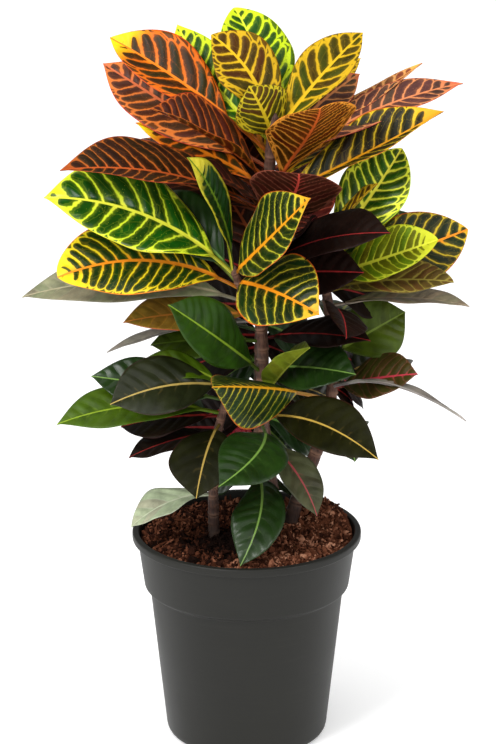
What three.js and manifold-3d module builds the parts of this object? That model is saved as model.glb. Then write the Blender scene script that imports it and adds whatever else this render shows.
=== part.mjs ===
// A potted croton: a round plastic nursery pot, its soil, and four leafy stems.
// Millimetres, +Z up. The origin is the centre of the pot's flat base, and -Y is the front.

import * as THREE from 'three';
import { mergeVertices } from 'three/addons/utils/BufferGeometryUtils.js';
import Module from 'manifold-3d';

const wasm = await Module();
wasm.setup();

// Driving dimensions of the pot
const POT_HEIGHT = 198;
const RIM_RADIUS = 105;
const COLLAR_TOP_RADIUS = 100;
const COLLAR_FOOT_RADIUS = 94;
const COLLAR_HEIGHT = 52;
const BODY_TOP_RADIUS = 89;
const BODY_FOOT_RADIUS = 75;
const FOOT_ROUNDING = 9;
const LIP_HEIGHT = 8;
// Points of the rolled lip: how far in from the rim, and how far up from the foot of the lip
const LIP_SECTION = [[0.8, 1], [0, 3], [0.3, 6], [2, LIP_HEIGHT], [4.5, LIP_HEIGHT], [6.2, 5]];
const STEP_BELOW = 3;
const STEP_ABOVE = 1;
const WALL = 2;
const POT_SIDES = 30;
const DRAIN_HOLES = 8;
const DRAIN_RADIUS = 5;
const DRAIN_CIRCLE = 52;
const DRAIN_SIDES = 8;
const ROUNDING_STEPS = 3;

// Soil and stems
const GAP = 0.3;
const SOIL_EDGE_HEIGHT = 190;
const SOIL_HEAP = 6;
const BACK_HEAP = { x: 80, y: 44, height: 18, spread: 25 };
const CRUMB_RELIEF = 1.6;
const CRUMB_SEED = 7;
const SOIL_RINGS = 7;
const SOIL_BRIM_INSET = 0.6;
const SOIL_BRIM_DROP = 4;
const HOLE_SIDES = 16;
const HOLE_PLAY = 0.3;
const STEM_STEPS = 12;
const STEM_SIDES = 8;

// Leaves
const BLADE_THICKNESS = 0.9;
const MIDRIB_THICKNESS = 1.9;
const STALK_THICKNESS = 3;
const STALK_HALF_WIDTH = 1.6;
const BROAD_LEAF = 64;
const SLIM_LEAF = 56;
const BLADE_STATIONS = [0.12, 0.3, 0.5, 0.7, 0.87];
const SLIM_STATIONS = [0.14, 0.38, 0.66, 0.87];
const MARGIN_WAVE = 0.05;
const MARGIN_WAVES = 2.3;
const PHASE_STEP = 2.4;
const CURL = 0.15;
const WIDEST = 1.2;
const FULLNESS = 0.7;
const FOLD = 18;
const STALK = 0.13;

const HEIGHT_HALVINGS = 30;

const COLOURS = {
  pot: 0x3b3c3b,
  soil: 0x4a2a1c,
  tall: 0x7a4a24,
  front: 0x3f6b2a,
  right: 0x3a5a26,
  low: 0x1f3d20,
};

// Each stem is a smooth line through its points. It stands upright in the soil and thins upwards.
const STEMS = {
  tall: {
    points: [[25, 16, 130], [25, 16, 205], [14, 20, 300], [14, 18, 420], [21, 10, 545], [24, 8, 578]],
    radii: [8, 4],
  },
  front: {
    points: [[8, -14, 130], [8, -14, 205], [14, -10, 330], [12, -10, 395], [-4, -22, 430], [-11, -30, 448]],
    radii: [7.5, 3],
  },
  right: {
    points: [
      [40, 12, 130], [41, 12, 200], [60, 12, 258], [74, 12, 300],
      [78, 14, 360], [70, 14, 430], [68, 12, 456],
    ],
    radii: [7, 4],
  },
  low: {
    points: [[-30, -18, 130], [-30, -18, 205], [-30, -26, 255], [-26, -34, 300], [-15, -38, 345]],
    radii: [5.5, 3.5],
  },
};

// One row for each leaf: the height of its foot on the stem, its tip, the blade's width, its bow
// towards the upper face and its sideways bow as parts of its length, its turn about its own line
// in degrees, and, where they are not the usual ones, the blade's fold in degrees and its stalk.
const LEAVES = {
  'tall': [
    // crown, front side
    [565, [-11, 75, 664], 71, 0.05, 0.04, 0],
    [562, [-31, 30, 647], 60, 0.05, 0.1, -45],
    [556, [-62, 75, 649], 50, 0.05, -0.06, -50],
    [558, [103, 55, 645], 55, 0.06, 0, 35, 32],
    [545, [-121, 52, 641], 70, 0.06, 0, -42, 36, 0.28],
    [532, [-129, 75, 614], 65, 0.04, -0.02, -45],
    [522, [-80, -62, 600], 70, 0.04, 0, -34, 42],
    [560, [2, 2, 607], 56, 0.1, 0, -80, 12, 0.06],
    [514, [61, -82, 604], 84, 0.08, -0.12, 0],
    [538, [101, 62, 607], 48, 0.05, -0.03, 30],
    [556, [104, 110, 613], 28, 0.05, 0, 25],
    [549, [156, 62, 617], 34, -0.03, 0, 2],
    [530, [191, 38, 603], 52, 0.07, 0, 22],
    [502, [169, -24, 590], 70, -0.015, 0, 35, 40],
    [492, [-156, -95, 554], 76, 0.07, 0.02, -24, 28, 0.08],
    [492, [-44, -22, 538], 60, 0.08, 0, -20],
    [470, [44, -90, 550], 84, 0.06, -0.06, -15],
    [440, [122, -75, 495], 66, 0.08, 0, 32],
    [374, [108, -50, 392], 54, 0.05, 0, 20],
    [344, [95, -60, 364], 58, 0.06, 0, 40],
    // inside, between the stems
    [514, [-98, 26, 570], 40, 0.04, 0, -35],
    [448, [-22, 45, 506], 56, 0.06, 0, -30],
    [462, [80, 30, 514], 60, 0.06, 0, 35],
    [398, [58, 96, 382], 54, 0.1, 0, 0],
    [366, [-62, 62, 330], 54, 0.05, 0, -60, 18, 0.04],
    [500, [-18, 92, 560], 55, 0.06, 0, 0],
    [388, [62, 54, 354], 54, 0.05, 0, 60, 18, 0.04],
    [320, [-52, 60, 278], 54, 0.05, 0, -60, 18, 0.04],
    [300, [70, 62, 258], 52, 0.05, 0, 60, 18, 0.04],
    [338, [78, 66, 302], 52, 0.05, 0, 60],
    [262, [-36, 78, 216], 54, 0.04, 0, -60, 18, 0.04],
    // back
    [536, [58, 135, 592], 54, 0.06, 0, 0],
    [542, [-45, 140, 600], 54, 0.06, 0, 0],
    [522, [12, 165, 572], 54, 0.08, 0, 0],
    [512, [128, 105, 552], 54, 0.08, 0, 0],
    [506, [-100, 118, 536], 54, 0.08, 0, 0],
    [488, [84, 150, 508], 54, 0.1, 0, 0],
    [474, [-52, 160, 500], 55, 0.1, 0, 0],
    [454, [22, 172, 468], 54, 0.1, 0, 0],
    [438, [-118, 105, 468], 54, 0.1, 0, 0],
    [400, [-60, 155, 412], 54, 0.12, 0, 0],
    [374, [34, 165, 380], 54, 0.12, 0, 0],
    [350, [-104, 105, 372], 54, 0.12, 0, 0],
    [320, [-16, 150, 316], 54, 0.14, 0, 0],
    // dark leaves between the stems
    [490, [-99, 45, 517], 54, 0.05, 0, -20],
    [462, [70, 50, 512], 52, 0.05, 0, 25],
    [430, [62, 0, 492], 55, 0.04, 0, 20],
    [430, [-46, 8, 460], 54, 0.05, 0, -50],
    [376, [-42, 60, 364], 55, 0.04, 0, -60, 18, 0.04],
    [330, [50, 40, 316], 55, 0.04, 0, 60, 18, 0.04],
    [356, [-24, 44, 326], 55, 0.04, 0, -60, 18, 0.04],
    [300, [-30, 40, 264], 56, 0.04, 0, -60, 18, 0.04],
    [246, [31, 52, 216], 46, 0.04, 0, 40, 18, 0.04],
    [434, [102, -38, 450], 50, 0.04, 0, 55],
    [368, [38, 40, 352], 50, 0.04, 0, 60, 18, 0.04],
    [290, [42, 42, 254], 50, 0.04, 0, 60, 18, 0.04],
  ],
  'front': [
    // crown
    [447, [-49, -88, 563], 42, 0.03, 0.08, -75],
    [447, [-84, -8, 514], 58, 0.05, 0, -45],
    [446, [-171, -85, 528], 86, 0.04, 0.09, -50],
    [431, [-160, -95, 461], 78, 0.05, 0.1, -45],
    [416, [-196, -45, 430], 62, 0.11, 0, -28],
    [447, [53, -100, 531], 72, 0.03, 0.03, 68, 22, 0.05],
    [438, [62, -95, 428], 80, 0.1, 0, 40, 18, 0.02],
    // down the stem
    [403, [-107, -62, 412], 51, 0.06, 0, -30],
    [400, [-125, -15, 371], 34, 0.05, 0, 0],
    [380, [-86, -10, 376], 54, 0.04, 0, -30],
    [350, [-66, -100, 438], 58, 0.02, 0, -78],
    [326, [54, -80, 395], 46, 0.03, 0, 20, 40],
    [308, [113, -120, 306], 57, 0.08, -0.06, 44, 28],
    [303, [-24, -130, 285], 62, 0.1, -0.12, -20, 18, 0.2],
    [288, [63, -58, 231], 42, 0.15, 0, 10],
    [256, [-6, -88, 195], 50, 0.12, -0.12, 0, 18, 0.06],
    // back
    [438, [-112, 48, 488], 54, 0.08, 0, 0],
    [414, [-60, 52, 396], 54, 0.04, 0, -60, 18, 0.04],
    [390, [-76, 42, 384], 52, 0.04, 0, 0],
    // dark leaves between the stems
    [284, [-16, -58, 304], 26, 0.04, 0, -70],
  ],
  'right': [
    // crown
    [452, [138, 35, 545], 66, 0.05, 0.045, 45, 18, 0.12],
    [456, [114, -8, 523], 36, 0.05, 0, 20],
    [440, [150, 66, 478], 56, 0.08, 0, 20],
    [428, [198, 26, 473], 70, 0.06, 0.02, 60],
    [432, [166, -40, 480], 56, 0.04, 0.03, 55, 28],
    [420, [181, -35, 441], 52, 0.05, 0, 22],
    [406, [198, -10, 412], 48, 0.06, 0, 4],
    [406, [86, -84, 404], 46, 0.08, 0, -30],
    // down the stem
    [360, [143, 20, 398], 62, 0.03, 0, 60],
    [329, [151, -36, 357], 52, 0.03, 0, 42],
    [331, [196, -35, 313], 26, 0.16, 0.24, -10],
    [318, [-29, -115, 370], 68, 0.04, 0, -45, -35, 0.33],
    [305, [98, -20, 269], 42, 0.1, 0, 0],
    // back
    [430, [118, 118, 452], 54, 0.08, 0, 0],
    [424, [124, 48, 400], 54, 0.05, 0, 55, 18, 0.04],
    [342, [106, 60, 304], 50, 0.05, 0, 60, 18, 0.04],
    [406, [60, 130, 424], 54, 0.1, 0, 0],
    [372, [102, 138, 368], 54, 0.12, 0, 0],
    [352, [92, 150, 338], 54, 0.1, 0, 0],
    [330, [154, 84, 330], 52, 0.12, 0, 0],
    [288, [100, 96, 262], 50, 0.06, 0, 0],
    // dark leaves between the stems
    [362, [100, 58, 338], 50, 0.04, 0, 60, 18, 0.04],
    [330, [98, 40, 306], 50, 0.04, 0, 60, 18, 0.04],
  ],
  'low': [
    [345, [-118, -90, 346], 60, 0.08, 0.05, -45],
    [333, [-138, -30, 353], 50, 0.03, 0, -45],
    [343, [-107, -30, 352], 36, 0.24, 0, -30],
    [321, [-167, -60, 318], 52, 0.06, 0.05, -30],
    [318, [-113, -25, 304], 54, 0.06, 0, -30],
    [302, [-105, -45, 282], 42, 0.06, 0, -15],
    [312, [-44, -100, 263], 64, 0.12, 0, 0],
    [240, [-104, -45, 216], 54, 0.11, 0, -5],
    // back
    [300, [-98, 62, 292], 50, 0.12, 0, 0],
    [266, [-66, 80, 246], 48, 0.06, 0, 0],
    // dark leaves between the stems
    [306, [-72, 10, 291], 46, 0.04, 0, -60, 18, 0.04],
  ],
};

function toSolid(geometry) {
  geometry.deleteAttribute('normal');
  geometry.deleteAttribute('uv');
  const merged = mergeVertices(geometry, 1e-4);
  return new wasm.Manifold(new wasm.Mesh({
    numProp: 3,
    vertProperties: new Float32Array(merged.attributes.position.array),
    triVerts: new Uint32Array(merged.index.array),
  }));
}

function fromSolid(solid) {
  const { vertProperties, triVerts, numProp } = solid.getMesh();
  const positions = new Float32Array((vertProperties.length / numProp) * 3);
  for (let i = 0; i < positions.length / 3; i += 1) {
    positions.set(vertProperties.subarray(i * numProp, i * numProp + 3), i * 3);
  }
  const geometry = new THREE.BufferGeometry();
  geometry.setAttribute('position', new THREE.BufferAttribute(positions, 3));
  geometry.setIndex(Array.from(triVerts));
  geometry.computeVertexNormals();
  return geometry;
}

function indexedGeometry(points, triangles) {
  const geometry = new THREE.BufferGeometry();
  const numbers = points.flatMap((point) => point.toArray());
  geometry.setAttribute('position', new THREE.Float32BufferAttribute(numbers, 3));
  geometry.setIndex(triangles.flat());
  return geometry;
}

function seededRandom(seed) {
  let state = seed;
  return () => {
    state = (state * 1664525 + 1013904223) % 4294967296;
    return state / 4294967296;
  };
}

// The inside of the pot, from the floor to the top of the collar
function innerProfile() {
  const collarFoot = POT_HEIGHT - COLLAR_HEIGHT;
  return [
    [BODY_FOOT_RADIUS - FOOT_ROUNDING, WALL],
    [BODY_FOOT_RADIUS - WALL, FOOT_ROUNDING],
    [BODY_TOP_RADIUS - WALL, collarFoot - STEP_BELOW],
    [COLLAR_FOOT_RADIUS - WALL, collarFoot + 2 * STEP_ABOVE],
    [COLLAR_TOP_RADIUS - WALL, POT_HEIGHT - LIP_HEIGHT],
  ];
}

function makePot() {
  const collarFoot = POT_HEIGHT - COLLAR_HEIGHT;
  const lipFoot = POT_HEIGHT - LIP_HEIGHT;
  const outer = [[0, 0], [BODY_FOOT_RADIUS - FOOT_ROUNDING, 0]];
  for (let i = 1; i <= ROUNDING_STEPS; i += 1) {
    const angle = (i / ROUNDING_STEPS) * Math.PI / 2;
    outer.push([
      BODY_FOOT_RADIUS - FOOT_ROUNDING * (1 - Math.sin(angle)),
      FOOT_ROUNDING * (1 - Math.cos(angle)),
    ]);
  }
  outer.push([BODY_TOP_RADIUS, collarFoot - STEP_BELOW]);
  outer.push([COLLAR_FOOT_RADIUS, collarFoot + STEP_ABOVE]);
  outer.push([COLLAR_TOP_RADIUS, lipFoot]);
  const lip = LIP_SECTION.map(([inward, up]) => [RIM_RADIUS - inward, lipFoot + up]);
  const profile = [...outer, ...lip, ...innerProfile().reverse(), [0, WALL]];
  const lathe = new THREE.LatheGeometry(profile.map(([r, z]) => new THREE.Vector2(r, z)), POT_SIDES);
  lathe.rotateX(Math.PI / 2);
  let pot = toSolid(lathe);
  for (let i = 0; i < DRAIN_HOLES; i += 1) {
    const angle = (i / DRAIN_HOLES) * 2 * Math.PI;
    const drain = new THREE.CylinderGeometry(DRAIN_RADIUS, DRAIN_RADIUS, 4 * WALL, DRAIN_SIDES);
    drain.rotateX(Math.PI / 2);
    drain.translate(DRAIN_CIRCLE * Math.cos(angle), DRAIN_CIRCLE * Math.sin(angle), 0);
    pot = pot.subtract(toSolid(drain));
  }
  return fromSolid(pot);
}

function soilHeight(x, y) {
  const edge = COLLAR_TOP_RADIUS - WALL;
  const heap = SOIL_HEAP * (1 - (x * x + y * y) / (edge * edge));
  const offset = (x - BACK_HEAP.x) ** 2 + (y - BACK_HEAP.y) ** 2;
  return SOIL_EDGE_HEIGHT + heap + BACK_HEAP.height * Math.exp(-offset / (2 * BACK_HEAP.spread ** 2));
}

function makeSoil() {
  const random = seededRandom(CRUMB_SEED);
  const rings = [];
  const ring = (radius, heightAt) => {
    const points = [];
    for (let i = 0; i < POT_SIDES; i += 1) {
      const angle = (i / POT_SIDES) * 2 * Math.PI;
      const x = radius * Math.sin(angle);
      const y = radius * Math.cos(angle);
      points.push(new THREE.Vector3(x, y, heightAt(x, y)));
    }
    rings.push(points);
  };
  const wall = innerProfile();
  const inside = 1.2 * GAP;
  const sides = wall.slice(0, 4);
  sides.forEach(([radius, height], i) => ring(radius - inside, () => height + (i < 2 ? GAP : 0)));
  const topRadius = COLLAR_TOP_RADIUS - WALL - inside - SOIL_BRIM_INSET;
  ring(topRadius, (x, y) => Math.min(soilHeight(x, y), POT_HEIGHT - SOIL_BRIM_DROP));
  for (let i = SOIL_RINGS - 1; i > 0; i -= 1) {
    ring(topRadius * (i / SOIL_RINGS), (x, y) => soilHeight(x, y) + CRUMB_RELIEF * (2 * random() - 1));
  }
  const points = rings.flat();
  const bottomCentre = points.push(new THREE.Vector3(0, 0, WALL + GAP)) - 1;
  const topCentre = points.push(new THREE.Vector3(0, 0, soilHeight(0, 0))) - 1;
  const triangles = [];
  const last = (rings.length - 1) * POT_SIDES;
  for (let i = 0; i < POT_SIDES; i += 1) {
    const next = (i + 1) % POT_SIDES;
    triangles.push([bottomCentre, i, next], [topCentre, last + next, last + i]);
    for (let j = 0; j < rings.length - 1; j += 1) {
      const low = j * POT_SIDES;
      const high = low + POT_SIDES;
      triangles.push([low + i, high + i, high + next], [low + i, high + next, low + next]);
    }
  }
  let soil = toSolid(indexedGeometry(points, triangles));
  for (const stem of Object.values(STEMS)) {
    const radius = (stem.radii[0] + GAP) / Math.cos(Math.PI / STEM_SIDES) + HOLE_PLAY;
    const [x, y, foot] = stem.points[0];
    const depth = 2 * (POT_HEIGHT - foot);
    const hole = new THREE.CylinderGeometry(radius, radius, depth, HOLE_SIDES);
    hole.rotateX(Math.PI / 2);
    hole.translate(x, y, foot - GAP + depth / 2);
    soil = soil.subtract(toSolid(hole));
  }
  return fromSolid(soil);
}

function stemCurve(stem) {
  const points = stem.points.map((p) => new THREE.Vector3(...p));
  return new THREE.CatmullRomCurve3(points, false, 'catmullrom', 0.5);
}

function pointAtHeight(curve, height) {
  let low = 0;
  let high = 1;
  for (let i = 0; i < HEIGHT_HALVINGS; i += 1) {
    const middle = (low + high) / 2;
    if (curve.getPoint(middle).z < height) low = middle;
    else high = middle;
  }
  return curve.getPoint(low);
}

// A thinning round stem with a short blunt point at its top
function makeStem(stem) {
  const curve = stemCurve(stem);
  const [footRadius, topRadius] = stem.radii;
  const points = [];
  for (let j = 0; j <= STEM_STEPS; j += 1) {
    const share = j / STEM_STEPS;
    const centre = curve.getPoint(share);
    const tangent = curve.getTangent(share);
    const side = new THREE.Vector3(0, 1, 0).cross(tangent).normalize();
    const front = tangent.clone().cross(side);
    const radius = footRadius + (topRadius - footRadius) * share;
    for (let i = 0; i < STEM_SIDES; i += 1) {
      const angle = (i / STEM_SIDES) * 2 * Math.PI;
      const point = centre.clone().addScaledVector(side, radius * Math.cos(angle));
      points.push(point.addScaledVector(front, radius * Math.sin(angle)));
    }
  }
  const foot = points.push(curve.getPoint(0)) - 1;
  const top = points.push(curve.getPoint(1).add(new THREE.Vector3(0, 0, 2 * topRadius))) - 1;
  const triangles = [];
  const last = STEM_STEPS * STEM_SIDES;
  for (let i = 0; i < STEM_SIDES; i += 1) {
    const next = (i + 1) % STEM_SIDES;
    triangles.push([foot, next, i], [top, last + i, last + next]);
    for (let j = 0; j < STEM_STEPS; j += 1) {
      const low = j * STEM_SIDES;
      const high = low + STEM_SIDES;
      triangles.push([low + i, low + next, high + next], [low + i, high + next, high + i]);
    }
  }
  return toSolid(indexedGeometry(points, triangles));
}

// The line of a leaf and the directions across it and out of its upper face
function leafFrame(foot, tip, bow, sway, turn) {
  const length = tip.distanceTo(foot);
  const along = tip.clone().sub(foot).divideScalar(length);
  const up = new THREE.Vector3(0, 0, 1);
  const upper = up.addScaledVector(along, -up.dot(along)).normalize();
  upper.applyAxisAngle(along, THREE.MathUtils.degToRad(turn));
  const side = along.clone().cross(upper);
  const rise = upper.clone().multiplyScalar(bow * length).addScaledVector(side, sway * length);
  return (u) => {
    const centre = foot.clone().addScaledVector(along, u * length).addScaledVector(rise, 4 * u * (1 - u));
    const tangent = along.clone().multiplyScalar(length).addScaledVector(rise, 4 * (1 - 2 * u)).normalize();
    const normal = upper.clone().addScaledVector(tangent, -upper.dot(tangent)).normalize();
    return { centre, normal, across: tangent.clone().cross(normal) };
  };
}

// One thin closed blade on its stalk, folded along its midrib, with a waved margin
function makeLeaf(foot, row, index) {
  const [, tip, width, bow, sway, turn, fold = FOLD, stalk = STALK] = row;
  const frameAt = leafFrame(foot, new THREE.Vector3(...tip), bow, sway, turn);
  const columns = width >= BROAD_LEAF ? [-1, -0.5, 0, 0.5, 1] : [-1, 0, 1];
  const tilt = THREE.MathUtils.degToRad(fold);
  const count = columns.length;
  const upperFace = [];
  const lowerFace = [];
  const station = (u, half, isStalk) => {
    const { centre, normal, across } = frameAt(u);
    for (const v of columns) {
      const phase = 2 * Math.PI * MARGIN_WAVES * u + PHASE_STEP * index + v;
      const wave = MARGIN_WAVE * Math.sin(phase) * Math.abs(v) ** 3;
      const lift = half * (Math.abs(v) * Math.sin(tilt) - CURL * v * v + wave);
      const point = centre.clone().addScaledVector(across, v * half * Math.cos(tilt));
      point.addScaledVector(normal, lift);
      const blade = v === 0 ? MIDRIB_THICKNESS : BLADE_THICKNESS;
      upperFace.push(point);
      lowerFace.push(point.clone().addScaledVector(normal, isStalk ? -STALK_THICKNESS : -blade));
    }
  };
  station(0, STALK_HALF_WIDTH, true);
  station(stalk, STALK_HALF_WIDTH, true);
  for (const q of width < SLIM_LEAF ? SLIM_STATIONS : BLADE_STATIONS) {
    const half = (width / 2) * Math.sin(Math.PI * q ** WIDEST) ** FULLNESS;
    station(stalk + (1 - stalk) * q, half, false);
  }
  const end = frameAt(1);
  const points = [...upperFace, ...lowerFace];
  const lower = upperFace.length;
  const tipTop = points.push(end.centre) - 1;
  const tipLow = points.push(end.centre.clone().addScaledVector(end.normal, -BLADE_THICKNESS)) - 1;
  const triangles = [];
  const rows = upperFace.length / count;
  for (let j = 0; j < count - 1; j += 1) {
    triangles.push([j, j + lower, j + 1 + lower], [j, j + 1 + lower, j + 1]);
    for (let i = 0; i < rows - 1; i += 1) {
      const a = i * count + j;
      const c = a + count + 1;
      triangles.push([a, a + 1, c], [a, c, c - 1]);
      triangles.push([a + lower, c + lower, a + 1 + lower], [a + lower, c - 1 + lower, c + lower]);
    }
    const a = (rows - 1) * count + j;
    triangles.push([a, a + 1, tipTop], [a + lower, tipLow, a + 1 + lower]);
  }
  for (let i = 0; i < rows; i += 1) {
    const a = i * count;
    const b = a + count - 1;
    const nextA = i < rows - 1 ? a + count : tipTop;
    const nextB = i < rows - 1 ? b + count : tipTop;
    const lowA = i < rows - 1 ? nextA + lower : tipLow;
    const lowB = i < rows - 1 ? nextB + lower : tipLow;
    triangles.push([a, nextA, lowA], [a, lowA, a + lower], [b, lowB, nextB], [b, b + lower, lowB]);
  }
  return toSolid(indexedGeometry(points, triangles));
}

// A stem joined with its leaves. A scrap or a sealed hollow left by the join is dropped.
function makeLeafyStem(name) {
  const curve = stemCurve(STEMS[name]);
  const leaves = LEAVES[name].map((row, index) => makeLeaf(pointAtHeight(curve, row[0]), row, index));
  const joined = leaves.reduce((sum, leaf) => sum.add(leaf), makeStem(STEMS[name]));
  const bodies = joined.decompose().sort((a, b) => b.volume() - a.volume());
  return fromSolid(bodies[0]);
}

function named(name, geometry, colour, roughness) {
  const material = new THREE.MeshStandardMaterial({ color: colour, roughness, metalness: 0 });
  const mesh = new THREE.Mesh(geometry, material);
  mesh.name = name;
  return mesh;
}

const croton = new THREE.Group();
croton.add(named('pot', makePot(), COLOURS.pot, 0.55));
croton.add(named('soil', makeSoil(), COLOURS.soil, 0.95));
croton.add(named('tall_stem', makeLeafyStem('tall'), COLOURS.tall, 0.4));
croton.add(named('front_stem', makeLeafyStem('front'), COLOURS.front, 0.4));
croton.add(named('right_stem', makeLeafyStem('right'), COLOURS.right, 0.4));
croton.add(named('low_stem', makeLeafyStem('low'), COLOURS.low, 0.4));

export default croton;
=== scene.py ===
# A potted croton: a dark nursery pot, peaty soil, and four woody stems of veined, waxy leaves.
# Shapes are worked out in millimetres, as the plant was measured, and put into meshes in metres.

import math

import bmesh
import bpy
import numpy as np
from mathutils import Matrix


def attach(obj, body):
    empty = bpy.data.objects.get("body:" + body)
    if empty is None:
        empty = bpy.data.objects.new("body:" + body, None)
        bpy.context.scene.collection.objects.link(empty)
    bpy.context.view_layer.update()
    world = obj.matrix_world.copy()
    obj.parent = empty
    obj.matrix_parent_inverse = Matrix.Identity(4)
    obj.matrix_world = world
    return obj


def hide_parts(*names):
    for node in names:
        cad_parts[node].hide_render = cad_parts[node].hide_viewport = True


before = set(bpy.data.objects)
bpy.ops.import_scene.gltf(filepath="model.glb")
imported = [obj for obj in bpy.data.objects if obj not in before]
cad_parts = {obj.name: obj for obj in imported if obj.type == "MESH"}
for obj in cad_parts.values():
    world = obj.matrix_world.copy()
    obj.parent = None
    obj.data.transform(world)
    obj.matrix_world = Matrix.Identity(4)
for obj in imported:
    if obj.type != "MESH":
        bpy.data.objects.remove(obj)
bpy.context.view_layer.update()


# The pot
# A round nursery pot, injection moulded in dark grey plastic. It has a rolled lip, a sloping collar
# over a small step, a tapering body, and a flat base with a ring of drain holes.

MM = 0.001
POT_HEIGHT = 198
RIM_RADIUS = 105
COLLAR_TOP_RADIUS = 100
COLLAR_FOOT_RADIUS = 94
COLLAR_FOOT = POT_HEIGHT - 52
BODY_TOP_RADIUS = 89
BODY_FOOT_RADIUS = 75
LIP_FOOT = POT_HEIGHT - 8
WALL = 2
DRAINS = 8
DRAIN_RADIUS = 5
DRAIN_CIRCLE = 52
DRAIN_SEGMENTS = 24
POT_SEGMENTS = 192
CORNER_STEPS = 6
WELD = 1e-6

POT_SECTION = [
    # radius, height and rounding of each corner, from the middle of the base out, up and back in
    (0, 0, 0),
    (BODY_FOOT_RADIUS - 1, 0, 8),
    (BODY_TOP_RADIUS, COLLAR_FOOT - 3, 2),
    (COLLAR_FOOT_RADIUS, COLLAR_FOOT - 0.5, 1.8),
    (COLLAR_TOP_RADIUS, LIP_FOOT, 0.8),
    (RIM_RADIUS - 0.2, LIP_FOOT + 0.4, 1.5),
    (RIM_RADIUS - 0.1, POT_HEIGHT, 2.4),
    (RIM_RADIUS - 6, POT_HEIGHT - 0.1, 1.8),
    (COLLAR_TOP_RADIUS - WALL, LIP_FOOT, 1),
    (COLLAR_FOOT_RADIUS - WALL, COLLAR_FOOT + 2, 1),
    (BODY_TOP_RADIUS - WALL, COLLAR_FOOT - 3, 1),
    (BODY_FOOT_RADIUS - WALL, WALL, 6),
    (0, WALL, 0),
]
PIN_SECTION = [
    # the same for a pin that cuts one drain hole
    (0, -WALL, 0),
    (DRAIN_RADIUS, -WALL, 0.1),
    (DRAIN_RADIUS, 3 * WALL, 0.1),
    (0, 3 * WALL, 0),
]


def rounded(section):
    """An outline with each corner rounded: a curve that leaves the corner's two sides at the given
    distance from it, with the corner as the middle control point of a quadratic curve."""
    corners = np.array([corner[:2] for corner in section], float)
    points = [corners[:1]]
    share = np.linspace(0, 1, CORNER_STEPS)[:, None]
    for before, corner, after, (_, _, distance) in zip(corners, corners[1:], corners[2:], section[1:]):
        start = corner + (before - corner) * distance / np.linalg.norm(before - corner)
        end = corner + (after - corner) * distance / np.linalg.norm(after - corner)
        points.append((1 - share) ** 2 * start + 2 * share * (1 - share) * corner + share**2 * end)
    return np.vstack([*points, corners[-1:]])


def turned(section, segments):
    """The outline carried round the upright axis: a point at radius r and height z becomes
    (r cos a, r sin a, z) for each angle a. Gives a grid of points, a row for each outline point."""
    angle = np.linspace(0, 2 * math.pi, segments, endpoint=False)
    radius = section[:, :1]
    height = np.repeat(section[:, 1:2], segments, axis=1)
    return np.stack([radius * np.cos(angle), radius * np.sin(angle), height], axis=-1)


def ring_faces(rows, columns):
    """Four-cornered faces between the rows of a grid whose columns run all the way round."""
    here = np.arange(rows * columns).reshape(rows, columns)
    beside = np.roll(here, -1, axis=1)
    return np.stack([here[:-1], beside[:-1], beside[1:], here[1:]], axis=-1).reshape(-1, 4)


def put(name, data):
    """A new object of the scene."""
    made = bpy.data.objects.new(name, data)
    bpy.context.scene.collection.objects.link(made)
    return made


def piece(name, points, faces, material):
    """One smooth object in metres from points in millimetres. It rides on the plant's one body."""
    mesh = bpy.data.meshes.new(name)
    mesh.from_pydata(np.reshape(points, (-1, 3)) * MM, [], faces.tolist())
    mesh.polygons.foreach_set("use_smooth", np.ones(len(faces), bool))
    mesh.materials.append(material)
    made = put(name, mesh)
    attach(made, "root")
    return made


def merged(made):
    """Joins the points that lie together, such as those at a pole."""
    work = bmesh.new()
    work.from_mesh(made.data)
    bmesh.ops.remove_doubles(work, verts=work.verts, dist=WELD)
    bmesh.ops.dissolve_degenerate(work, edges=work.edges, dist=WELD)
    work.to_mesh(made.data)
    work.free()


def tint(code):
    """A colour written as six hexadecimal digits, as the linear light values that a shader reads."""
    channels = np.array([int(code[i : i + 2], 16) for i in (0, 2, 4)]) / 255
    linear = np.where(channels <= 0.04045, channels / 12.92, ((channels + 0.055) / 1.055) ** 2.4)
    return (*linear.tolist(), 1.0)


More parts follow.
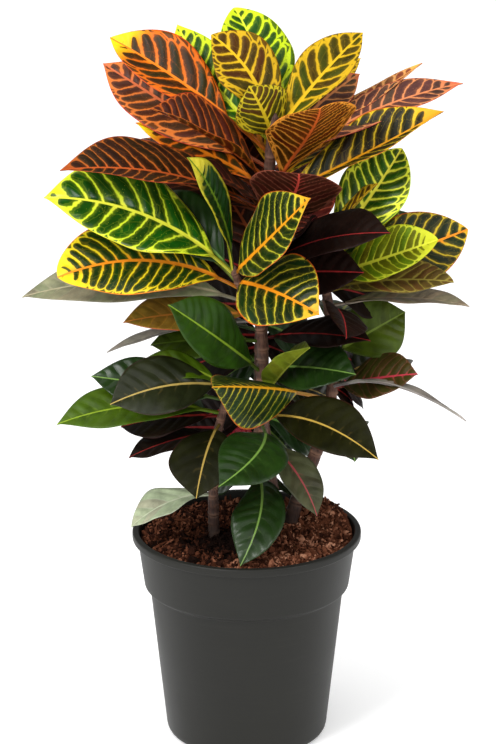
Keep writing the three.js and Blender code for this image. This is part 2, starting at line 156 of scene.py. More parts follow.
class Finish:
    """A new material, with a short way to add each kind of node that the plant's finishes need."""

    def __init__(self, name, roughness, specular=0.5):
        self.material = bpy.data.materials.new(name)
        self.material.use_nodes = True
        self.tree = self.material.node_tree
        self.shader = self.tree.nodes["Principled BSDF"]
        self.shader.inputs["Roughness"].default_value = roughness
        self.shader.inputs["Specular IOR Level"].default_value = specular
        self.place = self.node("TexCoord").outputs["Object"]

    def node(self, kind, settings=None, **inputs):
        """A node with its settings and inputs. An input goes by its name, or by _ and its number."""
        added = self.tree.nodes.new("ShaderNode" + kind)
        for key, value in (settings or {}).items():
            setattr(added, key, value)
        for key, value in inputs.items():
            socket = added.inputs[int(key[1:]) if key[0] == "_" else key]
            if isinstance(value, bpy.types.NodeSocket):
                self.tree.links.new(value, socket)
            else:
                socket.default_value = value
        return added

    def noise(self, place, scale, detail, roughness=0.5):
        """Random values from 0 to 1 that change smoothly from place to place."""
        inputs = {"Vector": place, "Scale": scale, "Detail": detail, "Roughness": roughness}
        return self.node("TexNoise", **inputs).outputs["Fac"]

    def ranged(self, value, start, end, low=0.0, high=1.0):
        """The value's run from start to end made a run from low to high, and held there outside."""
        return self.node("MapRange", _0=value, _1=start, _2=end, _3=low, _4=high).outputs[0]

    def blend(self, share, first, second):
        """The first colour turned into the second one by the share."""
        return self.node("Mix", {"data_type": "RGBA"}, _0=share, _6=first, _7=second).outputs[2]

    def ramp(self, value, *stops):
        """The colour that lies at the value among the stops, each a position and a colour."""
        shades = self.node("ValToRGB", Fac=value)
        elements = shades.color_ramp.elements
        for position, _ in stops[1:-1]:
            elements.new(position)
        for element, (position, colour) in zip(elements, stops):
            element.position = position
            element.color = colour
        return shades.outputs[0]

    def wear(self, socket, value):
        """Gives the shader's socket a value that differs over the surface."""
        self.tree.links.new(value, self.shader.inputs[socket])

    def bump(self, height, strength, distance):
        raised = self.node("Bump", Strength=strength, Distance=distance, Height=height)
        self.wear("Normal", raised.outputs[0])


def pot_plastic():
    """Dark grey moulded plastic: faint clouds of colour, a fine grain and a few long scuffs."""
    plastic = Finish("dark grey moulded plastic", 0.46, 0.22)
    clouds = plastic.noise(plastic.place, 9.0, 4.0)
    grain = plastic.noise(plastic.place, 900.0, 2.0)
    around = plastic.node("Mapping", Vector=plastic.place, Scale=(14, 14, 260)).outputs[0]
    scuffs = plastic.noise(around, 1.0, 5.0, 0.7)
    grey = plastic.ramp(clouds, (0.3, tint("181815")), (0.75, tint("1e1e1a")))
    worn = plastic.ranged(scuffs, 0.55, 0.85, 0.0, 0.35)
    plastic.wear("Base Color", plastic.blend(worn, grey, tint("2c2b26")))
    plastic.wear("Roughness", plastic.ranged(clouds, 0.3, 0.7, 0.42, 0.54))
    plastic.bump(grain, 0.12, 0.0004)
    return plastic.material


def drain_cutter():
    """A ring of upright round pins through the base, joined in one mesh."""
    grid = turned(rounded(PIN_SECTION), DRAIN_SEGMENTS)
    faces = ring_faces(*grid.shape[:2])
    angle = np.arange(DRAINS) * 2 * math.pi / DRAINS
    shift = np.stack([np.cos(angle), np.sin(angle), 0 * angle], axis=-1) * DRAIN_CIRCLE
    points = grid.reshape(1, -1, 3) + shift[:, None]
    numbers = faces + np.arange(DRAINS)[:, None, None] * grid[..., 0].size
    return points, numbers.reshape(-1, 4)


pot_grid = turned(rounded(POT_SECTION), POT_SEGMENTS)
pot = piece("nursery_pot", pot_grid, ring_faces(*pot_grid.shape[:2]), pot_plastic())
merged(pot)
cutter_points, cutter_faces = drain_cutter()
cutter = piece("drain_cutter", cutter_points, cutter_faces, pot.data.materials[0])
merged(cutter)
drilling = pot.modifiers.new("drains", "BOOLEAN")
drilling.object = cutter
drilling.operation = "DIFFERENCE"
drilling.solver = "EXACT"
bpy.context.view_layer.update()
drilled = bpy.data.meshes.new_from_object(pot.evaluated_get(bpy.context.evaluated_depsgraph_get()))
pot.modifiers.clear()
pot.data = drilled
bpy.data.objects.remove(cutter)
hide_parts("pot")


# The soil
# Moist peat with bark crumbs, filled to just under the rim and heaped up at the back right.
# The body is one rough mound, and loose crumbs and slivers of bark lie on it.

SOIL_EDGE_HEIGHT = 190
SOIL_HEAP = 6
BACK_HEAP = (80, 44)
BACK_HEAP_HEIGHT = 18
BACK_HEAP_SPREAD = 25
BACK_HEAP_LOSS = 0.35
LUMPS = ((1.6, 13, 1), (1.5, 6, 2), (0.9, 2.8, 3))
SOIL_RADIUS = 97
SOIL_RINGS = 90
SOIL_SEGMENTS = 300
# a painted shadow of the foliage on the soil: its middle, spread and depth; then a weaker painted shade
# towards the left
SHADOW_MIDDLE = (-14, -28)
SHADOW_SPREAD = 20
SHADOW_DEPTH = 1.3
LEFT_SHADE_DEPTH = 0.3
LEFT_SHADE_START = 20
LEFT_SHADE_WIDTH = 60
LATTICE = 128
LARGEST_CRUMB = 9
CRUMB_KINDS = {
    # how many, their half sizes in mm, and the seed of their random draws
    "peat_crumbs": (3600, (2.2, 1.3, 1.0), 11),
    "bark_slivers": (900, (4.4, 1.2, 0.8), 12),
}


def hills(x, y, size, seed):
    """Smooth random heights from -1 to 1: a square lattice of random numbers, size apart, with each
    point's height eased between the four numbers round it."""
    lattice = np.random.default_rng(seed).uniform(-1, 1, (LATTICE, LATTICE))
    across, along = x / size, y / size
    column, row = np.floor(across).astype(int), np.floor(along).astype(int)
    fx, fy = across - column, along - row
    fx, fy = fx * fx * (3 - 2 * fx), fy * fy * (3 - 2 * fy)
    right, above = (column + 1) % LATTICE, (row + 1) % LATTICE
    column, row = column % LATTICE, row % LATTICE
    low = lattice[row, column] * (1 - fx) + lattice[row, right] * fx
    high = lattice[above, column] * (1 - fx) + lattice[above, right] * fx
    return low * (1 - fy) + high * fy


def soil_height(x, y):
    """The mound: a low dome, a heap at the back right as a bell curve that falls off at the pot's wall,
    and lumps of three sizes that die away there."""
    reach = (x * x + y * y) / SOIL_RADIUS**2
    offset = (x - BACK_HEAP[0]) ** 2 + (y - BACK_HEAP[1]) ** 2
    heap = BACK_HEAP_HEIGHT * np.exp(-offset / (2 * BACK_HEAP_SPREAD**2))
    lumps = sum(height * hills(x, y, size, seed) for height, size, seed in LUMPS)
    dome = SOIL_EDGE_HEIGHT + SOIL_HEAP * (1 - reach)
    return dome + heap * (1 - BACK_HEAP_LOSS * reach**6) + lumps * (1 - reach**6)


def painted_shadow_depth(x, y):
    """How much darker the soil is painted: a painted shadow of the foliage as a bell curve round the middle,
    and a weaker painted shade that grows towards the left side."""
    offset = (x - SHADOW_MIDDLE[0]) ** 2 + (y - SHADOW_MIDDLE[1]) ** 2
    middle = SHADOW_DEPTH * np.exp(-offset / (2 * SHADOW_SPREAD**2))
    return middle + LEFT_SHADE_DEPTH * np.clip((LEFT_SHADE_START - x) / LEFT_SHADE_WIDTH, 0, 1)


def soil_grid():
    """A closed mound on a polar grid: its rows run from the middle of the hidden underside, out along
    it, up the pot's wall, and back over the top to the middle."""
    under = [
        [0, 2 * WALL],
        [BODY_FOOT_RADIUS - 2 * WALL, 2 * WALL],
        [BODY_TOP_RADIUS - 3, COLLAR_FOOT - 6],
        [SOIL_RADIUS - 1.5, LIP_FOOT - 12],
    ]
    radius = SOIL_RADIUS * (1 - np.linspace(0, 1, SOIL_RINGS) ** 1.15)
    top = turned(np.stack([radius, 0 * radius], axis=-1), SOIL_SEGMENTS)
    top[..., 2] = soil_height(top[..., 0], top[..., 1])
    return np.vstack([turned(np.array(under), SOIL_SEGMENTS), top])


def turned_any_way(count, chance):
    """One random turn in space for each of count things, as 3 by 3 matrices, from unit quaternions."""
    w, x, y, z = chance.normal(size=(4, count)) + 1e-9
    length = np.sqrt(w * w + x * x + y * y + z * z)
    w, x, y, z = w / length, x / length, y / length, z / length
    rows = [
        [1 - 2 * (y * y + z * z), 2 * (x * y - w * z), 2 * (x * z + w * y)],
        [2 * (x * y + w * z), 1 - 2 * (x * x + z * z), 2 * (y * z - w * x)],
        [2 * (x * z - w * y), 2 * (y * z + w * x), 1 - 2 * (x * x + y * y)],
    ]
    return np.moveaxis(np.array(rows), 2, 0)


def twenty_sided_ball():
    """The twelve corners of a regular twenty-sided ball of radius 1, and its sides, turned outwards."""
    golden = (1 + math.sqrt(5)) / 2
    ball = np.array([(a, b * golden, 0) for a in (-1, 1) for b in (-1, 1)], float)
    ball = np.vstack([ball, np.roll(ball, 1, axis=1), np.roll(ball, 2, axis=1)])
    ball /= math.sqrt(1 + golden**2)
    gap = np.linalg.norm(ball[:, None] - ball, axis=-1)
    near = (gap > 0.1) & (gap < 1.2)
    sides = [
        (i, j, k)
        for i in range(12)
        for j in range(i + 1, 12)
        for k in range(j + 1, 12)
        if near[i, j] and near[j, k] and near[i, k]
    ]
    outward = [np.dot(np.cross(ball[j] - ball[i], ball[k] - ball[i]), ball[i]) > 0 for i, j, k in sides]
    return ball, np.array([s if out else s[::-1] for s, out in zip(sides, outward)])


def crumbs(count, sizes, seed):
    """Rough crumbs lying on the mound. Each is a twenty-sided ball with its corners pushed in or
    out at random, scaled along three axes, turned at random and sunk into the soil. Those at the wall
    are pressed in from it. Gives their points, faces and shades; each shade is a random tone less the
    painted shadow of the foliage."""
    ball, sides = twenty_sided_ball()
    chance = np.random.default_rng(seed)
    radius = (SOIL_RADIUS - 3) * np.sqrt(chance.random(count))
    angle = chance.random(count) * 2 * math.pi
    x, y = radius * np.cos(angle), radius * np.sin(angle)
    scale = np.array(sizes) * chance.lognormal(0, 0.35, (count, 1))
    scale = np.minimum(scale * chance.uniform(0.7, 1.3, (count, 3)), LARGEST_CRUMB)
    bumps = chance.uniform(0.72, 1.15, (count, 12, 1))
    lying = np.einsum("nij,nkj->nki", turned_any_way(count, chance), ball * bumps * scale[:, None])
    lift = soil_height(x, y) + 0.35 * scale.mean(axis=1)
    points = lying + np.stack([x, y, lift], axis=-1)[:, None]
    reach = np.hypot(points[..., 0], points[..., 1])
    points[..., :2] *= np.minimum(1, (SOIL_RADIUS - 0.5) / reach)[..., None]
    faces = sides + 12 * np.arange(count)[:, None, None]
    # each crumb's shade is a random tone, less the painted shadow of the foliage
    return points, faces.reshape(-1, 3), np.repeat(chance.random(count) - painted_shadow_depth(x, y), 12)


def peat():
    """Moist peat: reddish brown and near black in patches of two sizes, quite matt, deeply pitted. Each
    loose crumb has a shade of its own, kept in the attribute named shade. The shade also carries a
    painted shadow of the foliage, darkest in the middle, and a weaker painted shade towards the left."""
    earth = Finish("moist peat and bark", 0.9, 0.06)
    patches = earth.noise(earth.place, 60.0, 6.0, 0.7)
    fibres = earth.noise(earth.place, 420.0, 4.0, 0.7)
    shade = earth.node("Attribute", {"attribute_name": "shade"}).outputs["Fac"]
    both = earth.node("Math", {"operation": "ADD"}, _0=patches, _1=shade).outputs[0]
    depth = earth.node("Math", {"operation": "MULTIPLY_ADD"}, _0=fibres, _1=0.5, _2=both).outputs[0]
    browns = [(0.0, "120805"), (0.3, "351b11"), (0.55, "5a3322"), (0.78, "80503a"), (1.0, "b88468")]
    stops = [(position, tint(code)) for position, code in browns]
    earth.wear("Base Color", earth.ramp(earth.ranged(depth, 0.45, 1.75), *stops))
    earth.bump(fibres, 0.8, 0.0012)
    return earth.material


def keep(made, name, values, kind="FLOAT", field="value"):
    """Keeps one value, or one colour, for each point of the mesh under that name."""
    layer = made.data.attributes.new(name, kind, "POINT")
    layer.data.foreach_set(field, np.ravel(values).astype(np.float32))


peat_finish = peat()
mound_grid = soil_grid()
mound = piece("soil_mound", mound_grid, ring_faces(*mound_grid.shape[:2]), peat_finish)
mound_x, mound_y = mound_grid[..., 0].ravel(), mound_grid[..., 1].ravel()
# the mound's shade: a random tone, less the painted shadow of the foliage
keep(mound, "shade", 0.35 + 0.25 * hills(mound_x, mound_y, 4, 5) - painted_shadow_depth(mound_x, mound_y))
merged(mound)
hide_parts("soil")

for crumb_name, crumb_kind in CRUMB_KINDS.items():
    crumb_points, crumb_faces, crumb_shades = crumbs(*crumb_kind)
    loose = piece(crumb_name, crumb_points, crumb_faces, peat_finish)
    loose.data.polygons.foreach_set("use_smooth", np.zeros(len(crumb_faces), bool))
    keep(loose, "shade", crumb_shades)


# The woody stems
# Pinkish brown, upright stems as thick as a finger at the soil. Each is ringed by the scars of the
# leaves that it has dropped, and thins towards its crown.

STEMS = {
    # points that the stem runs through, and its radius at the foot and at the top
    "tall": (
        [(25, 16, 130), (25, 16, 205), (14, 20, 300), (14, 18, 420), (21, 10, 545), (24, 8, 578)],
        (8, 4),
    ),
    "front": (
        [(8, -14, 130), (8, -14, 205), (14, -10, 330), (12, -10, 395), (-4, -22, 430), (-11, -30, 448)],
        (7.5, 3),
    ),
    "right": (
        [(40, 12, 130), (41, 12, 200), (60, 12, 258), (74, 12, 300), (78, 14, 360), (70, 14, 430),
         (68, 12, 456)],
        (7, 4),
    ),
    "low": (
        [(-30, -18, 130), (-30, -18, 205), (-30, -26, 255), (-26, -34, 300), (-15, -38, 345)],
        (5.5, 3.5),
    ),
}
STEM_RINGS = 260
STEM_SEGMENTS = 28
SCAR_STEP = 9.5
SCAR_TURN = 2.4
SCAR_RELIEF = 0.65
BARK_RELIEF = 0.22
CAP_RADII = (1.0, 0.8, 0.45, 0.0)
CAP_HEIGHTS = (0.8, 2.6, 5, 7)
# heights in metres over which the painted shade at the stems' foot fades out
FOOT_SHADE_FADES = (200 * MM, 270 * MM)


def unit(vectors):
    """Vectors at length one."""
    return vectors / np.linalg.norm(vectors, axis=-1, keepdims=True)


def along_stem(points, shares):
    """Points of the smooth line through the given ones. Each span is a cubic, and the line's slope at
    a given point is half the step between that point's two neighbours."""
    given = np.array(points, float)
    given = np.vstack([2 * given[0] - given[1], given, 2 * given[-1] - given[-2]])
    spans = len(points) - 1
    at = np.asarray(shares) * spans
    span = np.clip(np.floor(at).astype(int), 0, spans - 1)
    f = (at - span)[:, None]
    before, start, end, after = (given[span + i] for i in range(4))
    leave, arrive = (end - before) / 2, (after - start) / 2
    curve = (2 * f**3 - 3 * f**2 + 1) * start + (f**3 - 2 * f**2 + f) * leave
    return curve + (3 * f**2 - 2 * f**3) * end + (f**3 - f**2) * arrive


def stem_grid(points, radii):
    """A round stem carried along its line. Its radius falls evenly from foot to top, swells a little
    above each leaf scar and dips under it on the scar's side, and closes to a blunt point. Gives the
    points, and how strongly each is marked by a scar."""
    share = np.linspace(0, 1, STEM_RINGS)
    line = along_stem(points, share)
    tangent = unit(np.gradient(line, axis=0))
    side = unit(np.cross([0, 1, 0], tangent))
    front = np.cross(tangent, side)
    angle = np.linspace(0, 2 * math.pi, STEM_SEGMENTS, endpoint=False)
    height = line[:, 2:3]
    number = np.round(height / SCAR_STEP)
    offset = height - number * SCAR_STEP
    facing = 0.5 + 0.5 * np.cos(angle - number * SCAR_TURN)
    swell = np.exp(-(((offset - 1.5) / 1.3) ** 2))
    dip = 0.8 * np.exp(-((offset + 0.8) ** 2))
    scar = facing * (swell - dip)
    rough = BARK_RELIEF * hills(height + 0 * angle, 9 * angle + 0 * height, 3, 21)
    radius = radii[0] + (radii[1] - radii[0]) * share[:, None] + SCAR_RELIEF * scar + rough
    radius[0] = 0
    cap = np.array(CAP_RADII)[:, None]
    radius = np.vstack([radius, radius[-1] * cap])
    line = np.vstack([line, line[-1] + np.outer(CAP_HEIGHTS, [0, 0, 1])])
    side, front = (np.vstack([way, np.repeat(way[-1:], len(cap), axis=0)]) for way in (side, front))
    out = np.cos(angle)[:, None] * side[:, None] + np.sin(angle)[:, None] * front[:, None]
    return line[:, None] + radius[..., None] * out, np.vstack([np.abs(scar), 0 * cap + 0 * angle])


def bark():
    """Thin pinkish brown bark with a grey bloom and fine upright cracks. Scars are paler, and the foot
    is darkened with painted shade from the leaves above it."""
    wood = Finish("pinkish brown bark", 0.7, 0.35)
    long_way = wood.node("Mapping", Vector=wood.place, Scale=(700, 700, 130)).outputs[0]
    cracks = wood.noise(long_way, 1.0, 4.0, 0.65)
    bloom = wood.noise(wood.place, 70.0, 3.0)
    brown = wood.ramp(cracks, (0.32, tint("2b1914")), (0.66, tint("664435")))
    dusty = wood.blend(wood.ranged(bloom, 0.5, 0.75, 0.0, 0.6), brown, tint("5c5046"))
    scar = wood.node("Attribute", {"attribute_name": "shade"}).outputs["Fac"]
    scarred = wood.blend(scar, dusty, tint("84604c"))
    height = wood.node("SeparateXYZ", Vector=wood.place).outputs[2]
    # painted shade at the foot: a quarter as bright at the lower height, full brightness above the upper one
    lit_share = wood.ranged(height, *FOOT_SHADE_FADES, 0.25, 1.0)
    foot_shaded = wood.node("VectorMath", {"operation": "SCALE"}, _0=scarred, Scale=lit_share).outputs[0]
    wood.wear("Base Color", foot_shaded)
    wood.bump(cracks, 0.5, 0.0006)
    return wood.material


bark_finish = bark()
for stem_name, (stem_points, stem_radii) in STEMS.items():
    stem_surface, stem_scars = stem_grid(stem_points, stem_radii)
    stem_faces = ring_faces(*stem_surface.shape[:2])
    stem = piece(stem_name + "_wood", stem_surface, stem_faces, bark_finish)
    keep(stem, "shade", stem_scars)
    merged(stem)
    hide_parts(stem_name + "_stem")


# The leaves
# Leathery blades with a waxy face, folded a little along a stout midrib and waved at the margin, on
# short round stalks. Young ones are netted in yellow or orange, and old ones turn dark red and green.

LINE_POINTS = 4001
FOLD = 18
STALK = 0.13
STALK_RADIUS = 1.6
STALK_ROWS = 5
LEAST_WIDTH = 0.1
FULLNESS = 0.7
WIDEST = 1.2
CREASE = 0.05
CURL = 0.15
MARGIN_WAVE = 0.05
MARGIN_WAVES = 2.3
PHASE_STEP = 2.4
VEIN_SLOPE = 0.5
VEIN_BEND = 0.35
VEIN_WANDER = (0.16, 0.1)
VEIN_OFFSET = 0.45
GROOVE_DEPTH = 0.5
GROOVE_WIDTH = 1.6
RIB_HEIGHT = 1.5
RIB_WIDTH = 2.2
BLADE_THICKNESS = 0.6
QUILTING = 0.8
QUILTED_WIDTH = 20
UNDER_GLOSS = 0.3
NO_TIP = 1.5
MARGIN = 0.035
MARGINS = {"curled": 0.2}
TAPER = 0.4
TAPERS = {
    # of the blunt leaves, each named by its stem and by its row's number
    ("tall", 0): 0.1, ("tall", 1): 0.2, ("tall", 4): 0.3, ("tall", 8): 0.0, ("front", 3): -0.12,
    ("right", 0): 0.15, ("right", 3): 0.15, ("right", 4): -0.05, ("right", 5): 0.1,
}

LOOKS = {
    # upper face: cells between the veins, veins, midrib, margin and tip; then the share of the space
    # that the cells fill, how plain the veins show, where the tip's colour begins, the veins' spacing
    # in mm, and the gloss; then the underside's cells, veins and midrib
    "lime": ("1c440a c4d41a d4de34 bccc18 d0dc20", 0.84, 1, 0.84, 11, 0.35, "48661a 9cac30 b0bc3c"),
    "lime_dark": ("264c0e eaec3e fff24a bcd022 d0dc24", 0.875, 1, 0.93, 10.5, 0.5, "2a4a1c 7e983c 94a448"),
    "bronze": ("422a08 cc9c1a dcac1e 966212 a87a1a", 0.85, 1, 0.95, 11, 0.15, "563a14 987424 a8822c"),
    "bronze_small": ("40300a b8a01c c8a81e 8e6a14 a08a18", 0.86, 1, 0.97, 6, 0.15, "4a3a12 988024 a88a28"),
    "olive_gold": ("3e3a08 cea41a deb420 92641a a88420", 0.87, 1, 0.95, 14, 0.12, "504214 927824 a0802c"),
    "flame": ("2a2008 d0640e e07a16 cc480e f0d41a", 0.87, 1, 0.74, 14, 0.3, "7a4a30 b8704a bc7850"),
    "ember": ("402618 d67a30 c86c3c c0442e 9a564c", 0.87, 0.95, 0.9, 12, 0.35, "5a4038 9a6048 a06058"),
    "rust": ("38160a b4541c c05e20 a82e18 b05c2c", 0.92, 1, 0.92, 11, 0.25, "4e220a b0641e b45222"),
    "rust_under": ("38160a b4541c c05e20 a82e18 b05c2c", 0.88, 1, 0.94, 8.5, 0.1, "54280c dc8c30 cc5c26"),
    "plum": ("483230 cc8650 d08450 bc4c3c c8382e", 0.92, 1, 0.84, 11, 0.2, "4e3636 8c6056 985a52"),
    "gilded": ("1a180a dcbc24 e09c1a cc6018 f0a018", 0.97, 1, 0.78, 14, 0.25, "3e3a16 8c7c28 9c7c28"),
    "coral": ("7c3e2c e09458 e08c4c cc5c40 f0cc28", 0.86, 1, 0.86, 12, 0.2, "7a4a38 b87858 bc7c58"),
    "netted": ("16220a c8ae24 e88a16 c04e1a e08216", 0.935, 1, 0.9, 12, 0.35, "3c4024 807a34 94682e"),
    "mahogany": ("281406 b45c1e c05420 942a10 983414", 0.95, 1, 0.86, 12, 0.25, "3c1c10 743c26 803c22"),
    "umber": ("26110a 64301c 7c3c1c 4c1c10 4c1c10", 0.95, 0.8, 0.95, 12, 0.12, "30180e 4e2818 5a301c"),
    "burgundy": ("3c140e 944430 c8483a 862c20 7c281c", 0.94, 0.9, 0.96, 10, 0.2, "36150f 7e4434 c4463a"),
    "night": ("150b07 20110a 9c2c2c 241010 301414", 0.96, 0.15, 0.97, 12, 0.14, "1e1210 2a1816 662224"),
    "lemon": ("184210 dcea36 ece846 dcd020 f2e222", 0.935, 1, 0.84, 17, 0.95, "2a4a1c 7e983c 94a448"),
    "sunny": ("16300c e4cc20 ee901e e8841c f6dc1e", 0.91, 1, 0.82, 11, 0.6, "3e4c1c 8a8432 a07c2e"),
    "orange_ribbed": ("102208 c0b830 ea9218 c25a1a ec9418", 0.955, 1, 0.82, 11, 0.35, "3c4024 807a34 94682e"),
    "branched": ("10240a a8a82c d0961a a84e16 c4741a", 0.975, 0.85, 0.97, 9, 0.4, "3c4024 807a34 94682e"),
    "spotted": ("1a300c 94921e a4a226 56701a 7c841c", 0.96, 0.8, 0.95, 11, 0.4, "2e3e1a 586026 666e30"),
    "olive_brown": ("625018 8e6e24 a46e2a b44428 d86060", 0.97, 0.6, 0.95, 12, 0.3, "463e1a 6a6230 746638"),
    "plain_green": ("1e3a04 284406 7ea028 2e480e 2e480e", 0.98, 0.3, 0.99, 12, 0.4, "3c5c22 4c6c30 7e923e"),
    "fresh_green": ("384a04 465808 8c9c28 465a0e 4e6010", 0.98, 0.4, 0.99, 12, 0.35, "5e7e24 6e8e30 90a840"),
    "moss": ("38480a 465818 68802a 3e5210 3e5210", 0.98, 0.4, 0.99, 12, 0.4, "3a4c1c 4c5e28 627038"),
    "bottle": ("162a0a 1e340e 6c8e40 203212 203212", 0.98, 0.3, 0.99, 12, 0.6, "28381e 34462a 52623a"),
    "black_green": ("1a1e0c 22260e b09850 301c14 3a2014", 0.98, 0.25, 0.99, 13, 0.55, "262618 32322a 62523a"),
    "umber_green": ("141404 191806 b09044 341c14 3a2014", 0.98, 0.2, 0.99, 13, 0.1, "262618 32322a 62523a"),
    "red_spotted": ("383010 6e4430 c03a48 6a3a24 cc4456", 0.94, 0.75, 0.9, 10, 0.3, "362c20 5e4436 94403c"),
    "crimson": ("6a1420 80202c b03040 701a24 701a24", 0.9, 0.5, 0.99, 9, 0.2, "84182a a02436 bc3446"),
    "grey_green": ("3c3c28 484a34 984244 444636 444636", 0.97, 0.4, 0.99, 12, 0.3, "525c4c 626c58 827860"),
    "grey_purple": ("7a7460 8e8670 aea084 8a8072 8a8072", 0.95, 0.6, 0.99, 11, 0.4, "7a746a 8e887e 9c9486"),
    "silver": ("706e60 7e7c6e 9c9a88 7c7a6c 7c7a6c", 0.97, 0.4, 0.99, 12, 0.3, "8a887a 98968a acaa9e"),
    "curled": ("10300c 1c4410 64801c b8ac28 dcc834", 0.95, 0.95, 0.66, 10, 0.5, "2c4210 7c8420 a0a028"),
    "olive_under": ("5a660e b6b82c d8d43c a8a820 c8c62c", 0.92, 1, 0.76, 8, 0.15, "868e18 ccca38 d6d042"),
    "olive_fold": ("445010 586418 7c882c 5c661c 5c661c", 0.96, 0.5, 0.97, 12, 0.35, "5e6a18 6e7c26 8e9634"),
    "brown_under": ("523c20 94803a 96843c 5c4a1c 5c4a1c", 0.93, 0.9, 0.97, 11, 0.15, "583e22 94803a 9c8840"),
    "pale_under": ("8e8e78 9c9c86 b8b89c b0b09a b0b09a", 0.96, 0.5, 0.99, 12, 0.3, "82826c 92927c a8a890"),
}

# Each leaf's look, height of the foot on the stem, tip, width, bow to the upper face and sideways bow
# as parts of the length, turn about the leaf's line, and fold and stalk where not the usual ones.
TALL_LEAVES = [
    ("lime", 565, (-11, 75, 664), 71, 0.05, 0.04, 0),
    ("bronze", 562, (-31, 30, 647), 60, 0.05, 0.1, -45),
    ("lime", 556, (-62, 75, 649), 50, 0.05, -0.06, -50),
    ("olive_gold", 558, (103, 55, 645), 55, 0.06, 0, 35, 32),
    ("flame", 545, (-121, 52, 641), 70, 0.06, 0, -42, 36, 0.28),
    ("ember", 532, (-129, 75, 614), 65, 0.04, -0.02, -45),
    ("rust", 522, (-80, -62, 600), 70, 0.04, 0, -34, 42),
    ("bronze_small", 560, (2, 2, 607), 56, 0.1, 0, -80, 12, 0.06),
    ("rust_under", 514, (61, -82, 604), 84, 0.08, -0.12, 0),
    ("plum", 538, (101, 62, 607), 48, 0.05, -0.03, 30),
    ("olive_gold", 556, (104, 110, 613), 28, 0.05, 0, 25),
    ("coral", 549, (156, 62, 617), 34, -0.03, 0, 2),
    ("plum", 530, (191, 38, 603), 52, 0.07, 0, 22),
    ("gilded", 502, (169, -24, 590), 70, -0.015, 0, 35, 40),
    ("mahogany", 492, (-156, -95, 554), 76, 0.07, 0.02, -24, 28, 0.08),
    ("umber", 492, (-44, -22, 538), 60, 0.08, 0, -20),
    ("burgundy", 470, (44, -90, 550), 84, 0.06, -0.06, -15),
    ("night", 440, (122, -75, 495), 66, 0.08, 0, 32),
    ("night", 374, (108, -50, 392), 54, 0.05, 0, 20),
    ("bottle", 344, (95, -60, 364), 58, 0.06, 0, 40),
    ("flame", 514, (-98, 26, 570), 40, 0.04, 0, -35),
    ("umber", 448, (-22, 45, 506), 56, 0.06, 0, -30),
    ("burgundy", 462, (80, 30, 514), 60, 0.06, 0, 35),
    ("night", 398, (58, 96, 382), 54, 0.1, 0, 0),
    ("night", 366, (-62, 62, 330), 54, 0.05, 0, -60, 18, 0.04),
    ("umber", 500, (-18, 92, 560), 55, 0.06, 0, 0),
    ("bottle", 388, (62, 54, 354), 54, 0.05, 0, 60, 18, 0.04),
    ("night", 320, (-52, 60, 278), 54, 0.05, 0, -60, 18, 0.04),
    ("bottle", 300, (70, 62, 258), 52, 0.05, 0, 60, 18, 0.04),
    ("black_green", 338, (78, 66, 302), 52, 0.05, 0, 60),
    ("bottle", 262, (-36, 78, 216), 54, 0.04, 0, -60, 18, 0.04),
    ("rust", 536, (58, 135, 592), 54, 0.06, 0, 0),
    ("flame", 542, (-45, 140, 600), 54, 0.06, 0, 0),
    ("bronze", 522, (12, 165, 572), 54, 0.08, 0, 0),
    ("gilded", 512, (128, 105, 552), 54, 0.08, 0, 0),
    ("mahogany", 506, (-100, 118, 536), 54, 0.08, 0, 0),
    ("umber", 488, (84, 150, 508), 54, 0.1, 0, 0),
    ("burgundy", 474, (-52, 160, 500), 55, 0.1, 0, 0),
    ("night", 454, (22, 172, 468), 54, 0.1, 0, 0),
    ("spotted", 438, (-118, 105, 468), 54, 0.1, 0, 0),
    ("bottle", 400, (-60, 155, 412), 54, 0.12, 0, 0),
    ("black_green", 374, (34, 165, 380), 54, 0.12, 0, 0),
    ("plain_green", 350, (-104, 105, 372), 54, 0.12, 0, 0),
    ("bottle", 320, (-16, 150, 316), 54, 0.14, 0, 0),
    # dark leaves between the stems
    ("umber", 490, (-99, 45, 517), 54, 0.05, 0, -20),
    ("night", 462, (70, 50, 512), 52, 0.05, 0, 25),
    ("night", 430, (62, 0, 492), 55, 0.04, 0, 20),
    ("night", 430, (-46, 8, 460), 54, 0.05, 0, -50),
    ("night", 376, (-42, 60, 364), 55, 0.04, 0, -60, 18, 0.04),
    ("night", 330, (50, 40, 316), 55, 0.04, 0, 60, 18, 0.04),
    ("bottle", 356, (-24, 44, 326), 55, 0.04, 0, -60, 18, 0.04),
    ("night", 300, (-30, 40, 264), 56, 0.04, 0, -60, 18, 0.04),
    ("bottle", 246, (31, 52, 216), 46, 0.04, 0, 40, 18, 0.04),
    ("night", 434, (102, -38, 450), 50, 0.04, 0, 55),
    ("night", 368, (38, 40, 352), 50, 0.04, 0, 60, 18, 0.04),
    ("bottle", 290, (42, 42, 254), 50, 0.04, 0, 60, 18, 0.04),
]
